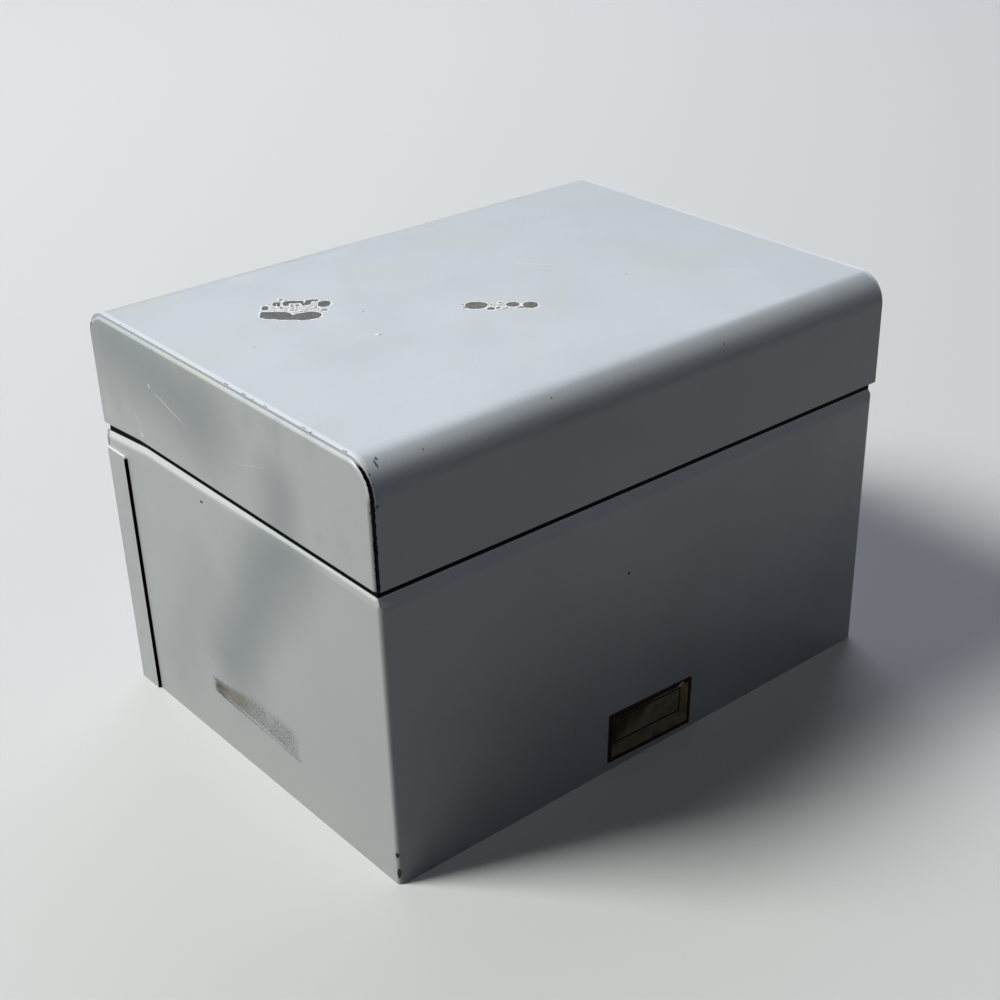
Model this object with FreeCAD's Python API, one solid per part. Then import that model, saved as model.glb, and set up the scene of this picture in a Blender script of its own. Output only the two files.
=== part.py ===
"""Index card box: a shallow sheet-steel body with an inward shoulder and a deep hinged lid.

Frame: X to the right, Y to the back, Z up; the origin is under the middle of the body, on the table.
Lengths are in millimetres and angles in degrees.
"""
import FreeCAD, Part
import math
import os

from FreeCAD import Vector

# ---------------------------------------------------------------- driving dimensions
# Sheet stock and joints between sheets
sheet = 0.9               # thickness of the body and lid steel
lap_gap = 0.05            # paint film between two sheets that are spot-welded face to face
bend_radius = 1.4         # outside radius of the sharp bends
running_gap = 0.3         # clearance between pieces that slide past each other

# Body
base_width = 216.0        # over the two end walls
base_depth = 161.0        # from the front face to the back face
shoulder_height = 100.6   # where the walls start to lean inwards
shoulder_rise = 3.2       # height of the leaning stretch
front_shoulder_inset = 1.7  # how far the front wall leans inwards there
end_shoulder_inset = 0.6  # the end walls only break inwards a little
shoulder_softness = 3.0   # outside radius of the bend into the leaning stretch
neck_height = 8.1         # straight neck above the shoulder, inside the lid
corner_radius = 1.8       # outside radius of the two front corners

# Back panel
back_flange = 12.5        # how far its side flanges lap forwards over the end walls
back_flange_drop = 5.95   # those flanges end this far below the panel's top edge

# Bottom pan
pan_recess = 5.0          # height of its underside above the table
pan_rim_lift = 0.4        # its flanges end this far above the table
pan_corner = 1.5          # plan radius of its corners
pan_notch = 2.4           # open corner between two of its flanges

# Lid
lid_gap = 3.2             # between the top of the shoulder and the lid's lower edge
lid_depth = 39.5          # from that edge to the top of the lid
lid_edge_radius = 10.5    # outside radius along its front and rear top edges
lid_front_overhang = 0.6  # how far the lid stands in front of the body
seam_setback = 0.9        # the lid sheet ends this far short of the face of the end plates
end_plate_flange = 9.0    # width of the flange round an end plate, under the lid sheet
rest_tab_width = 6.0      # tab of that flange on which the closed lid rests
rest_tab_gap = 0.3        # height of the closed tab above the neck

# Rear relief: the lid edge and the shoulder both step down towards the hinges
relief_length = 28.0      # length of the sloping stretch, measured from the back face
lid_relief_drop = 1.95    # how far the lid edge comes down on that stretch

# Hinges
hinge_width = 38.0        # length of the barrel
hinge_end_inset = 27.0    # from the end of the body to the hinge
hinge_knuckles = 5        # knuckles along one barrel, the outer ones on the body
hinge_sheet = 0.8         # thickness of the leaves
hinge_leaf_height = 15.0  # from the pin's axis to the free edge of a leaf
pin_radius = 0.8
pin_clearance = 0.05      # radial, in every knuckle
pin_head_height = 0.6     # peened head at each end of the pin
pin_head_radius = 1.3
knuckle_gap = 0.3         # between neighbouring knuckles
hinge_gap = 3.9           # height of the opening between lid and back panel at the barrel
hinge_inset = 1.45        # the pin's axis lies this far inside the back face

# Label
label_width = 39.3
label_height = 19.4
label_thickness = 0.25
label_corner = 0.8
label_middle_height = 12.4
label_tilt = 2.0          # the label is stuck on a little crooked, its right end lower

# Card rail and follower
rail_width = 18.0
rail_height = 6.5
rail_slot = 6.0           # gap between the rail's two lips
rail_end_gap = 1.0        # between the rail's ends and the front and back walls
rail_rivet_inset = 5.0    # from the rail's end to the rivet
follower_side_gap = 6.5   # between the plate and the neck of either end wall
follower_drop = 18.5      # from the neck's top edge down to the plate's, before it leans
follower_lean = 6.0       # the plate leans back by this angle
follower_floor_gap = 1.5  # between the plate and the pan
follower_rim = 7.0        # depth of the rim round the plate's back
follower_corner = 14.0
follower_scoop_radius = 16.0  # finger scoop in the plate's top edge
follower_scoop_depth = 9.0
bracket_sheet = 1.2
bracket_width = 26.0
bracket_foot = 34.0
bracket_arm = 42.0
bracket_inner_bend = 0.6
slider_length = 30.0
slider_stop_gap = 0.9     # to the head of the rail's rear rivet, with the follower pushed right back
slider_stand = 1.5        # height of the slider's neck above the rail's lips
neck_end_gap = 2.0        # the neck is this much shorter than the slider's shoe, at each end
spring_sheet = 0.4
spring_width = 14.0
spring_length = 44.0
rivet_radius = 1.5
rivet_fit = 0.03          # radial gap round a rivet's shank
rivet_head_radius = 2.5
rivet_head_height = 1.0
counterbore_gap = 0.2     # round and below the rivet tails sunk in the slider
foot_rivet_spacing = 14.0
arm_rivet_spacing = 14.0
arm_rivet_height = 26.0   # above the bracket's foot
arm_rivet_tail = 0.7      # height of these rivets' flattened tails on the plate's front

# ---------------------------------------------------------------- places that follow from them
half_width = base_width / 2
front_face = -base_depth / 2
back_face = base_depth / 2
back_inside = back_face - sheet
wall_end = back_inside - bend_radius + sheet  # the end walls stop short of the back panel's bends

shoulder_top = shoulder_height + shoulder_rise
neck_top = shoulder_top + neck_height

lid_edge_height = shoulder_top + lid_gap     # lower edge of the lid, but for its rear stretch
lid_height = lid_edge_height + lid_depth     # top of the lid above the table
lid_rear_edge = lid_edge_height - lid_relief_drop
hinge_height = lid_rear_edge - hinge_gap / 2
hinge_depth = back_face - hinge_inset
hinge_middle = half_width - hinge_end_inset - hinge_width / 2
back_top = hinge_height - hinge_gap / 2      # top edge of the back panel
back_flange_height = back_top - back_flange_drop
shoulder_drop = shoulder_top - back_top      # the shoulder meets the back panel's top edge
relief_start = back_face - relief_length

lid_half_width = half_width + lap_gap + sheet   # flush with the back panel's flanges
lid_front = front_face - lid_front_overhang
end_inset = sheet + lap_gap                     # the end plates' flanges lie under the lid sheet

pan_floor = pan_recess + sheet
rail_base = pan_floor + lap_gap
rail_top = rail_base + rail_height
rail_front = front_face + sheet + rail_end_gap
rail_rear = back_inside - rail_end_gap
foot_base = rail_top + slider_stand + spring_sheet + 2 * lap_gap
slider_rear = rail_rear - rail_rivet_inset - rivet_head_radius - slider_stop_gap
foot_middle = slider_rear - slider_length / 2
follower_half_width = half_width - end_shoulder_inset - sheet - follower_side_gap
follower_place = foot_middle - bracket_foot / 2 - bracket_sheet  # back of the plate at its foot
beyond = 10.0                                   # how far cutting bodies run past what they cut


# ---------------------------------------------------------------- helpers
def rounded_wire(points, radii):
    """Closed wire through points, with each corner rounded by the radius of the same place in radii."""
    count = len(points)
    edges = []
    previous_end = None
    first_start = None
    for index in range(count):
        corner = points[index]
        before = (points[index - 1] - corner).normalize()
        after = (points[(index + 1) % count] - corner).normalize()
        radius = radii[index]
        if radius > 0:
            half_turn = before.getAngle(after) / 2
            reach = radius / math.tan(half_turn)
            start = corner + before * reach
            end = corner + after * reach
            centre = corner + (before + after).normalize() * (radius / math.sin(half_turn))
            middle = centre + (corner - centre).normalize() * radius
        else:
            start = corner
            end = corner
        if previous_end is None:
            first_start = start
        elif (start - previous_end).Length > 1e-6:
            edges.append(Part.makeLine(previous_end, start))
        if radius > 0:
            edges.append(Part.Arc(start, middle, end).toShape())
        previous_end = end
    edges.append(Part.makeLine(previous_end, first_start))
    return Part.Wire(edges)


def prism(points, along, radii=None):
    """Solid from an outline of points, with optional corner radii, pushed along a vector."""
    wire = rounded_wire(points, radii or [0] * len(points))
    return Part.Face(wire).extrude(along)


def box(low, high):
    """Box between two opposite corners."""
    size = [high[axis] - low[axis] for axis in range(3)]
    return Part.makeBox(*size, Vector(*low))


def mirrored(shape):
    """The same piece on the other side of the middle plane X = 0."""
    return shape.mirror(Vector(0, 0, 0), Vector(1, 0, 0))


# ---------------------------------------------------------------- body
def wall_outline(inset, offset):
    """Outline of a wall with its shoulder and neck: (distance inwards, height) and the bend radii.

    inset is how far this wall's shoulder goes inwards; offset is 0 for the outside of the sheet and
    the sheet's thickness for its inside.
    """
    lean = math.atan2(inset, shoulder_rise)
    back_off = offset * math.tan(lean / 2)
    low = shoulder_height - back_off
    high = shoulder_top - back_off
    neck = offset + inset
    outline = [(offset, low), (neck, high), (neck, neck_top + offset)]
    radii = [shoulder_softness - offset, shoulder_softness - sheet + offset, 0]
    return outline, radii


def end_wall_section(offset, place, floor):
    """Closed section across the body at Y = place, as a wire."""
    outline, radii = wall_outline(end_shoulder_inset, offset)
    left = [Vector(-half_width + inwards, place, height) for inwards, height in outline]
    right = [Vector(half_width - inwards, place, height) for inwards, height in reversed(outline)]
    points = [Vector(-half_width + offset, place, floor)] + left
    points += right + [Vector(half_width - offset, place, floor)]
    return rounded_wire(points, [0] + radii + radii[::-1] + [0])


def body_block(offset):
    """Solid inside the walls' outer faces (offset 0) or inner faces (offset of one sheet)."""
    floor = -offset
    front_end = front_face - beyond
    rear_end = back_face + beyond
    rear_drop = shoulder_drop * (rear_end - relief_start) / relief_length
    straight = Part.Face(end_wall_section(offset, front_end, floor))
    straight = straight.extrude(Vector(0, relief_start - front_end, 0))
    sloping = Part.Face(end_wall_section(offset, relief_start, floor))
    sloping = sloping.extrude(Vector(0, rear_end - relief_start, -rear_drop))
    across = straight.fuse(sloping)

    outline, radii = wall_outline(front_shoulder_inset, offset)
    width = half_width + beyond
    profile = [Vector(-width, front_face + offset, floor)]
    profile += [Vector(-width, front_face + inwards, height) for inwards, height in outline]
    profile += [Vector(-width, rear_end, neck_top + offset), Vector(-width, rear_end, floor)]
    lengthwise = prism(profile, Vector(2 * width, 0, 0), [0] + radii + [0, 0])

    corner = corner_radius - offset
    plan = [
        Vector(-half_width + offset, front_face + offset, floor),
        Vector(half_width - offset, front_face + offset, floor),
        Vector(half_width - offset, rear_end, floor),
        Vector(-half_width + offset, rear_end, floor),
    ]
    upright = prism(plan, Vector(0, 0, 2 * neck_top), [corner, corner, 0, 0])
    return across.common(lengthwise).common(upright)


def body_wrapper():
    """Front wall and both end walls, bent from one sheet, with shoulder and neck."""
    walls = body_block(0).cut(body_block(sheet))
    width = half_width + beyond
    walls = walls.cut(box((-width, wall_end, -beyond), (width, back_face + 2 * beyond, lid_height)))
    neck_end = back_inside - sheet - lap_gap - 2 * running_gap
    rear_of_neck = box((-width, neck_end, back_top), (width, back_face, lid_height))
    return walls.cut(rear_of_neck)


def back_panel():
    """Back wall with a flange at each side that laps over the end wall.

    Above the flanges its corners follow the shoulder of the end walls.
    """
    outer = half_width + lap_gap + sheet
    rear = box((-outer, back_face - back_flange, 0), (outer, back_face, back_flange_height))
    upright_edges = [
        edge for edge in rear.Edges
        if abs(edge.CenterOfMass.y - back_face) < 1e-6 and abs(abs(edge.CenterOfMass.x) - outer) < 1e-6
    ]
    rear = rear.makeFillet(bend_radius, upright_edges)
    inner_half = half_width + lap_gap
    inside_low = (-inner_half, back_face - back_flange - beyond, -beyond)
    inside = box(inside_low, (inner_half, back_inside, lid_height))
    inner_edges = [
        edge for edge in inside.Edges
        if abs(edge.CenterOfMass.y - back_inside) < 1e-6
        and abs(abs(edge.CenterOfMass.x) - inner_half) < 1e-6
    ]
    inside = inside.makeFillet(bend_radius - sheet, inner_edges)
    channel = rear.cut(inside)
    flange_corners = [
        edge for edge in channel.Edges
        if abs(edge.CenterOfMass.y - back_face + back_flange) < 1e-6
        and abs(edge.CenterOfMass.z - back_flange_height) < 1e-6
    ]
    channel = channel.makeFillet(bend_radius, flange_corners)
    upper = box((-half_width, back_inside, 0), (half_width, back_face, back_top))
    return channel.fuse(upper.common(body_block(0))).removeSplitter()


def bottom_pan():
    """Recessed bottom with its four flanges turned down inside the walls."""
    half_x = half_width - sheet - lap_gap
    front = front_face + sheet + lap_gap
    rear = back_inside - lap_gap

    def block(offset, low, high):
        plan = [
            Vector(-half_x + offset, front + offset, low),
            Vector(half_x - offset, front + offset, low),
            Vector(half_x - offset, rear - offset, low),
            Vector(-half_x + offset, rear - offset, low),
        ]
        return prism(plan, Vector(0, 0, high - low), [pan_corner - offset] * 4)

    outer = block(0, pan_rim_lift, pan_floor)
    upper_edges = [edge for edge in outer.Edges if abs(edge.BoundBox.ZMin - pan_floor) < 1e-6]
    outer = outer.makeFillet(bend_radius, upper_edges)
    pan = outer.cut(block(sheet, -beyond, pan_recess))
    for side_x in (-1, 1):
        for corner_y in (front, rear):
            middle = Vector(side_x * half_x, corner_y, 0)
            low = (middle.x - pan_notch, middle.y - pan_notch, -beyond)
            high = (middle.x + pan_notch, middle.y + pan_notch, pan_recess - bend_radius)
            pan = pan.cut(box(low, high))
    for place in rail_rivet_places():
        pan = pan.cut(rivet_hole(Vector(0, place, 0), 2 * pan_floor))
    return pan


# ---------------------------------------------------------------- lid
def lid_outline(offset, low_front, low_rear):
    """Outline of the lid seen from its end, at offset inside its outer faces."""
    front = lid_front + offset
    rear = back_face - offset
    top = lid_height - offset
    points = [(front, low_front), (front, top), (rear, top), (rear, low_rear)]
    radius = lid_edge_radius - offset
    return points, [0, radius, radius, 0]


def lid_prism(offset, start_x, length, lower_front=0.0, lower_rear=0.0):
    """Solid with the lid's outline and its kinked lower edge, pushed along X."""
    points, radii = lid_outline(offset, lid_edge_height - lower_front, lid_rear_edge - lower_rear)
    points = points + [(relief_start, lid_edge_height - lower_front)]
    radii = radii + [0]
    corners = [Vector(start_x, y, z) for y, z in points]
    return prism(corners, Vector(length, 0, 0), radii)


def lid_shell():
    """Rear skirt, top and front skirt of the lid in one sheet."""
    half = lid_half_width - seam_setback
    outer = lid_prism(0, -half, 2 * half)
    inner = lid_prism(sheet, -half - beyond, 2 * (half + beyond), beyond, beyond)
    return outer.cut(inner)


def lid_end_left():
    """End plate with a flange round three sides that lies under the lid sheet."""
    outer = lid_prism(end_inset, -lid_half_width, end_plate_flange)
    above_low_edge = lid_edge_height + bend_radius
    rim = [
        edge for edge in outer.Edges
        if abs(edge.BoundBox.XMax + lid_half_width) < 1e-6 and edge.CenterOfMass.z > above_low_edge
    ]
    outer = outer.makeFillet(bend_radius, rim)
    inner_start = -lid_half_width + sheet
    inner = lid_prism(end_inset + sheet, inner_start, end_plate_flange, beyond, beyond)
    plate = outer.cut(inner)
    flange_inside = lid_front + end_inset + sheet
    tab_start = -lid_half_width + end_plate_flange - rest_tab_width
    tab_end = -lid_half_width + end_plate_flange
    tab_low = neck_top + rest_tab_gap
    slot = box((tab_start, lid_front, lid_edge_height - beyond), (tab_end, flange_inside, tab_low))
    tab_reach = front_face + front_shoulder_inset + 2 * sheet
    tab = box((tab_start, flange_inside - sheet, tab_low), (tab_end, tab_reach, tab_low + sheet))
    return plate.cut(slot).fuse(tab).removeSplitter()


# ---------------------------------------------------------------- hinges
def barrel_radius():
    """Outside radius of a knuckle rolled from the leaf round the pin."""
    return pin_radius + pin_clearance + hinge_sheet


def hinge_leaf(middle, takes_even, upwards):
    """Leaf with every second knuckle; takes_even picks knuckles 0, 2, 4, which belong to the body."""
    face = back_inside - lap_gap
    side = 1 if upwards else -1
    clear = barrel_radius() + running_gap
    left = middle - hinge_width / 2
    near = hinge_height + side * clear
    far = hinge_height + side * hinge_leaf_height
    leaf = box(
        (left, face - hinge_sheet, min(near, far)),
        (left + hinge_width, face, max(near, far)),
    )
    pitch = hinge_width / hinge_knuckles
    for index in range(hinge_knuckles):
        if (index % 2 == 0) != takes_even:
            continue
        start = left + index * pitch + (knuckle_gap / 2 if index else 0)
        end = left + (index + 1) * pitch - (knuckle_gap / 2 if index < hinge_knuckles - 1 else 0)
        knuckle = Part.makeCylinder(
            barrel_radius(), end - start, Vector(start, hinge_depth, hinge_height), Vector(1, 0, 0)
        )
        web = box(
            (start, face - hinge_sheet, min(hinge_height, near)),
            (end, face, max(hinge_height, near)),
        )
        leaf = leaf.fuse(knuckle).fuse(web)
    bore = Part.makeCylinder(
        pin_radius + pin_clearance,
        hinge_width + 2 * beyond,
        Vector(left - beyond, hinge_depth, hinge_height),
        Vector(1, 0, 0),
    )
    return leaf.cut(bore).removeSplitter()


def hinge_pin(middle):
    """Wire pin with a peened head at each end."""
    left = middle - hinge_width / 2
    along = Vector(1, 0, 0)
    into_head = lap_gap + pin_head_height / 2
    pin = Part.makeCylinder(
        pin_radius, hinge_width + 2 * into_head, Vector(left - into_head, hinge_depth, hinge_height), along
    )
    for start in (left - pin_head_height - lap_gap, left + hinge_width + lap_gap):
        place = Vector(start, hinge_depth, hinge_height)
        pin = pin.fuse(Part.makeCylinder(pin_head_radius, pin_head_height, place, along))
    return pin.removeSplitter()


# ---------------------------------------------------------------- label
def front_label():
    """Thin foil label on the front wall, stuck on a little crooked."""
    half_x = label_width / 2
    half_z = label_height / 2
    face = front_face - lap_gap
    corners = [
        Vector(-half_x, face, -half_z),
        Vector(half_x, face, -half_z),
        Vector(half_x, face, half_z),
        Vector(-half_x, face, half_z),
    ]
    foil = prism(corners, Vector(0, -label_thickness, 0), [label_corner] * 4)
    foil.rotate(Vector(0, 0, 0), Vector(0, 1, 0), label_tilt)
    foil.translate(Vector(0, 0, label_middle_height))
    return foil


# ---------------------------------------------------------------- card rail
def rail_rivet_places():
    """Y of the two rivets that hold the rail."""
    return rail_front + rail_rivet_inset, rail_rear - rail_rivet_inset


def card_rail():
    """Channel with two inturned lips, open at both ends."""
    length = Vector(0, rail_rear - rail_front, 0)
    half = rail_width / 2
    outside = [
        Vector(-half, rail_front, rail_base),
        Vector(half, rail_front, rail_base),
        Vector(half, rail_front, rail_top),
        Vector(-half, rail_front, rail_top),
    ]
    inner = half - sheet
    inside = [
        Vector(-inner, rail_front, rail_base + sheet),
        Vector(inner, rail_front, rail_base + sheet),
        Vector(inner, rail_front, rail_top - sheet),
        Vector(-inner, rail_front, rail_top - sheet),
    ]
    rail = prism(outside, length, [bend_radius] * 4).cut(prism(inside, length, [bend_radius - sheet] * 4))
    slot_low = (-rail_slot / 2, rail_front - beyond, rail_top - 2 * sheet)
    slot_high = (rail_slot / 2, rail_rear + beyond, rail_top + beyond)
    rail = rail.cut(box(slot_low, slot_high))
    for place in rail_rivet_places():
        rail = rail.cut(rivet_hole(Vector(0, place, rail_base - sheet / 2), 2 * sheet))
    return rail


def rivet_hole(start, depth):
    """Round hole for a rivet's shank, going up from start."""
    return Part.makeCylinder(rivet_radius + rivet_fit, depth, start)


def rivet(start, direction, grip, tail_height):
    """Flat rivet whose head rests at start; its shank goes along direction through grip to a low tail."""
    axis = Vector(direction).normalize()
    shank = Part.makeCylinder(rivet_radius, grip + 2 * lap_gap, start - axis * lap_gap, axis)
    head = Part.makeCylinder(rivet_head_radius, rivet_head_height, start, axis * -1)
    tail = Part.makeCylinder(rivet_head_radius, tail_height, start + axis * grip, axis)
    return head.fuse(shank).fuse(tail).removeSplitter()


def rail_rivets():
    """Two rivets through the rail and the pan, heads inside the rail."""
    return [
        rivet(Vector(0, place, rail_base + sheet + lap_gap), Vector(0, 0, -1),
              2 * sheet + 3 * lap_gap, rivet_head_height)
        for place in rail_rivet_places()
    ]


# ---------------------------------------------------------------- follower
def lean_back(shape):
    """Turns a piece modelled upright about the plate's foot to the plate's lean."""
    pivot = Vector(0, follower_place, foot_base)
    turned = shape.copy()
    turned.rotate(pivot, Vector(1, 0, 0), -follower_lean)
    return turned


def follower_plate():
    """Plate with a rim bent back round its sides and top, a finger scoop and a notch over the rail."""
    half = follower_half_width
    low = pan_floor + follower_floor_gap
    high = neck_top - follower_drop

    def block(offset, front, rear, bottom):
        outline = [
            Vector(-half + offset, front, bottom),
            Vector(half - offset, front, bottom),
            Vector(half - offset, front, high - offset),
            Vector(-half + offset, front, high - offset),
        ]
        corner = follower_corner - offset
        return prism(outline, Vector(0, rear - front, 0), [0, 0, corner, corner])

    front = follower_place - sheet
    rear = front + follower_rim
    plate = block(0, front, rear, low).cut(block(sheet, follower_place, rear + beyond, low - beyond))
    scoop_height = high - follower_scoop_depth + follower_scoop_radius
    scoop_start = Vector(0, front - beyond, scoop_height)
    scoop_length = follower_rim + 2 * beyond
    scoop = Part.makeCylinder(follower_scoop_radius, scoop_length, scoop_start, Vector(0, 1, 0))
    notch_half = rail_width / 2 + 2 * running_gap + sheet
    notch = box((-notch_half, front - beyond, low - beyond), (notch_half, rear + beyond, foot_base))
    plate = lean_back(plate.cut(scoop).cut(notch))
    for shank in arm_rivet_holes():
        plate = plate.cut(shank)
    return plate


def arm_rivet_points():
    """Places of the two rivets through plate and bracket arm, before the lean."""
    height = foot_base + arm_rivet_height
    return [Vector(side * arm_rivet_spacing / 2, 0, height) for side in (-1, 1)]


def arm_rivet_holes():
    """Round holes for the arm rivets, already leaning."""
    holes = []
    for point in arm_rivet_points():
        start = Vector(point.x, follower_place - beyond, point.z)
        hole = Part.makeCylinder(rivet_radius + rivet_fit, 2 * beyond, start, Vector(0, 1, 0))
        holes.append(lean_back(hole))
    return holes


def foot_rivet_points():
    """Places of the two rivets through foot, spring and slider."""
    return [Vector(0, foot_middle + side * foot_rivet_spacing / 2, foot_base) for side in (-1, 1)]


def follower_bracket():
    """Angle: an arm against the plate's back and a foot over the rail."""
    face = follower_place + lap_gap
    half = bracket_width / 2
    lean = math.radians(follower_lean)
    up = Vector(0, math.sin(lean), math.cos(lean))
    out = Vector(0, math.cos(lean), -math.sin(lean))
    pivot = Vector(-half, follower_place, foot_base)
    heel = pivot + out * lap_gap
    arm_top = heel + up * bracket_arm
    arm_top_out = arm_top + out * bracket_sheet
    inner_heel_z = foot_base + bracket_sheet
    inner_reach = (inner_heel_z - (heel + out * bracket_sheet).z) / up.z
    inner_heel = heel + out * bracket_sheet + up * inner_reach
    foot_low = heel - up * ((heel.z - foot_base) / up.z)
    foot_end = Vector(-half, face + bracket_sheet + bracket_foot, foot_base)
    foot_end_top = foot_end + Vector(0, 0, bracket_sheet)
    outline = [foot_low, foot_end, foot_end_top, inner_heel, arm_top_out, arm_top]
    radii = [bracket_inner_bend + bracket_sheet, 0, 0, bracket_inner_bend, 0, 0]
    bracket = prism(outline, Vector(bracket_width, 0, 0), radii)
    corner = bracket_width / 4
    arm_corners = [
        edge for edge in bracket.Edges
        if edge.CenterOfMass.z > arm_top.z - bracket_sheet and edge.Length < bracket_sheet * 1.01
        and abs(abs(edge.CenterOfMass.x) - half) < 1e-6
    ]
    bracket = bracket.makeFillet(corner, arm_corners)
    for hole in arm_rivet_holes():
        bracket = bracket.cut(hole)
    for point in foot_rivet_points():
        bracket = bracket.cut(rivet_hole(point - Vector(0, 0, bracket_sheet), 4 * bracket_sheet))
    return bracket


def follower_slider():
    """T-shaped shoe: the wide part runs in the rail and the neck comes up between the lips."""
    start = slider_rear - slider_length
    end = slider_rear
    half = rail_width / 2 - sheet - running_gap
    low = rail_base + sheet + running_gap
    high = rail_top - sheet - running_gap
    shoe_outline = [
        Vector(-half, start, low),
        Vector(half, start, low),
        Vector(half, end, low),
        Vector(-half, end, low),
    ]
    shoe = prism(shoe_outline, Vector(0, 0, high - low), [neck_end_gap] * 4)
    neck_half = rail_slot / 2 - running_gap
    neck_low = (-neck_half, start + neck_end_gap, high - sheet)
    neck = box(neck_low, (neck_half, end - neck_end_gap, rail_top + slider_stand))
    slider = shoe.fuse(neck)
    for point in foot_rivet_points():
        under = Vector(0, point.y, low)
        counterbore = Part.makeCylinder(
            rivet_head_radius + counterbore_gap, rivet_head_height + counterbore_gap, under
        )
        slider = slider.cut(rivet_hole(under, foot_base)).cut(counterbore)
    return slider


def follower_spring():
    """Leaf clamped under the foot, its two ends bowed down on to the rail's lips."""
    top = foot_base - lap_gap
    flat_half = slider_length / 2 - neck_end_gap / 2
    tip_half = spring_length / 2
    dip = top - spring_sheet - rail_top - lap_gap
    half = spring_width / 2

    def edge_points(lift):
        return [
            Vector(-half, foot_middle - tip_half, top - dip + lift),
            Vector(-half, foot_middle - flat_half, top + lift),
            Vector(-half, foot_middle + flat_half, top + lift),
            Vector(-half, foot_middle + tip_half, top - dip + lift),
        ]

    upper = edge_points(0)
    lower = edge_points(-spring_sheet)
    leaf = prism(upper + lower[::-1], Vector(spring_width, 0, 0))
    for point in foot_rivet_points():
        leaf = leaf.cut(rivet_hole(Vector(0, point.y, rail_top), foot_base))
    return leaf


def follower_rivets():
    """Two rivets down through foot, spring and slider, and two through plate and arm."""
    pieces = []
    tail_rest = rail_base + sheet + running_gap + rivet_head_height + counterbore_gap
    for point in foot_rivet_points():
        start = Vector(0, point.y, foot_base + bracket_sheet + lap_gap)
        grip = start.z - tail_rest + lap_gap
        pieces.append(rivet(start, Vector(0, 0, -1), grip, rivet_head_height))
    for point in arm_rivet_points():
        start = Vector(point.x, follower_place + bracket_sheet + 2 * lap_gap, point.z)
        grip = sheet + bracket_sheet + 3 * lap_gap
        pieces.append(lean_back(rivet(start, Vector(0, -1, 0), grip, arm_rivet_tail)))
    return pieces


# ---------------------------------------------------------------- assembly
def export(node, solids):
    """Writes one node as a STEP file; solids is one shape or a list of separate solids."""
    shape = solids if not isinstance(solids, list) else Part.makeCompound(solids)
    if not shape.isValid() or not shape.Solids:
        raise ValueError(node + " is not a valid solid")
    shape.exportStep(os.path.join("parts", node + ".step"))
    print(node, len(shape.Solids), "solid(s), volume", round(shape.Volume, 2))


def build():
    os.makedirs("parts", exist_ok=True)
    export("body_wrapper", body_wrapper())
    export("back_panel", back_panel())
    export("bottom_pan", bottom_pan())
    export("front_label", front_label())
    export("lid_shell", lid_shell())
    left_end = lid_end_left()
    export("lid_end_left", left_end)
    export("lid_end_right", mirrored(left_end))
    for name, side in (("left", -1), ("right", 1)):
        middle = side * hinge_middle
        export("hinge_" + name + "_base_leaf", hinge_leaf(middle, True, False))
        export("hinge_" + name + "_lid_leaf", hinge_leaf(middle, False, True))
        export("hinge_" + name + "_pin", hinge_pin(middle))
    export("card_rail", card_rail())
    export("rail_rivets", rail_rivets())
    export("follower_plate", follower_plate())
    export("follower_bracket", follower_bracket())
    export("follower_slider", follower_slider())
    export("follower_spring", follower_spring())
    export("follower_rivets", follower_rivets())


build()
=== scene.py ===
import math

import bpy
from mathutils import Matrix, Vector


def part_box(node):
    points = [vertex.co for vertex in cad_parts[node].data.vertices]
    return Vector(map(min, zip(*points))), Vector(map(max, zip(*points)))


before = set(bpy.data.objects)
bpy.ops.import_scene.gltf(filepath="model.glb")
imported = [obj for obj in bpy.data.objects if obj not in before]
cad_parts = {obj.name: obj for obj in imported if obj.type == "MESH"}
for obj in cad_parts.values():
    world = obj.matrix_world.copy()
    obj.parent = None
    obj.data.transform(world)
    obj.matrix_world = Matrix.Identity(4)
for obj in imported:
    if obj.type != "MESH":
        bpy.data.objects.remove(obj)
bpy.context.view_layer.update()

MM = 0.001


# ---------------------------------------------------------------- places, in millimetres
def corners(node):
    """Lowest and highest corner of a CAD node, in millimetres."""
    low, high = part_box(node)
    return low / MM, high / MM


LID_LOW, LID_HIGH = corners("lid_shell")
LID_TOP = LID_HIGH.z
LID_HALF = LID_HIGH.x                      # half length of the lid's sheet
FRONT_ROLL = LID_LOW.y + 10.5              # the lid's front roll starts at this Y
PLATE_FACE = corners("lid_end_right")[1].x  # outer face of an end plate
BODY_LOW, BODY_HIGH = corners("body_wrapper")
END_WALL = BODY_HIGH.x                     # outer face of an end wall
FRONT_WALL = BODY_LOW.y
SHOULDER_TOP = BODY_HIGH.z - 8.1           # the neck stands this far above the shoulder
SHOULDER_FOOT = SHOULDER_TOP - 3.2         # where the end and front walls start to lean inwards
BACK_LOW, BACK_HIGH = corners("back_panel")
BACK_WALL = BACK_HIGH.y
FLANGE_EDGE = BACK_LOW.y                   # front edge of the back panel's flanges
RELIEF_LENGTH = 28.0
RELIEF_START = BACK_WALL - RELIEF_LENGTH   # behind this Y the shoulder slopes down
RELIEF_SLOPE = 2.65 / RELIEF_LENGTH


# ---------------------------------------------------------------- colours
def srgb(red, green, blue):
    """Linear colour from 0-255 display values."""
    def linear(value):
        value = value / 255
        return value / 12.92 if value <= 0.04045 else ((value + 0.055) / 1.055) ** 2.4
    return linear(red), linear(green), linear(blue), 1.0


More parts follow.
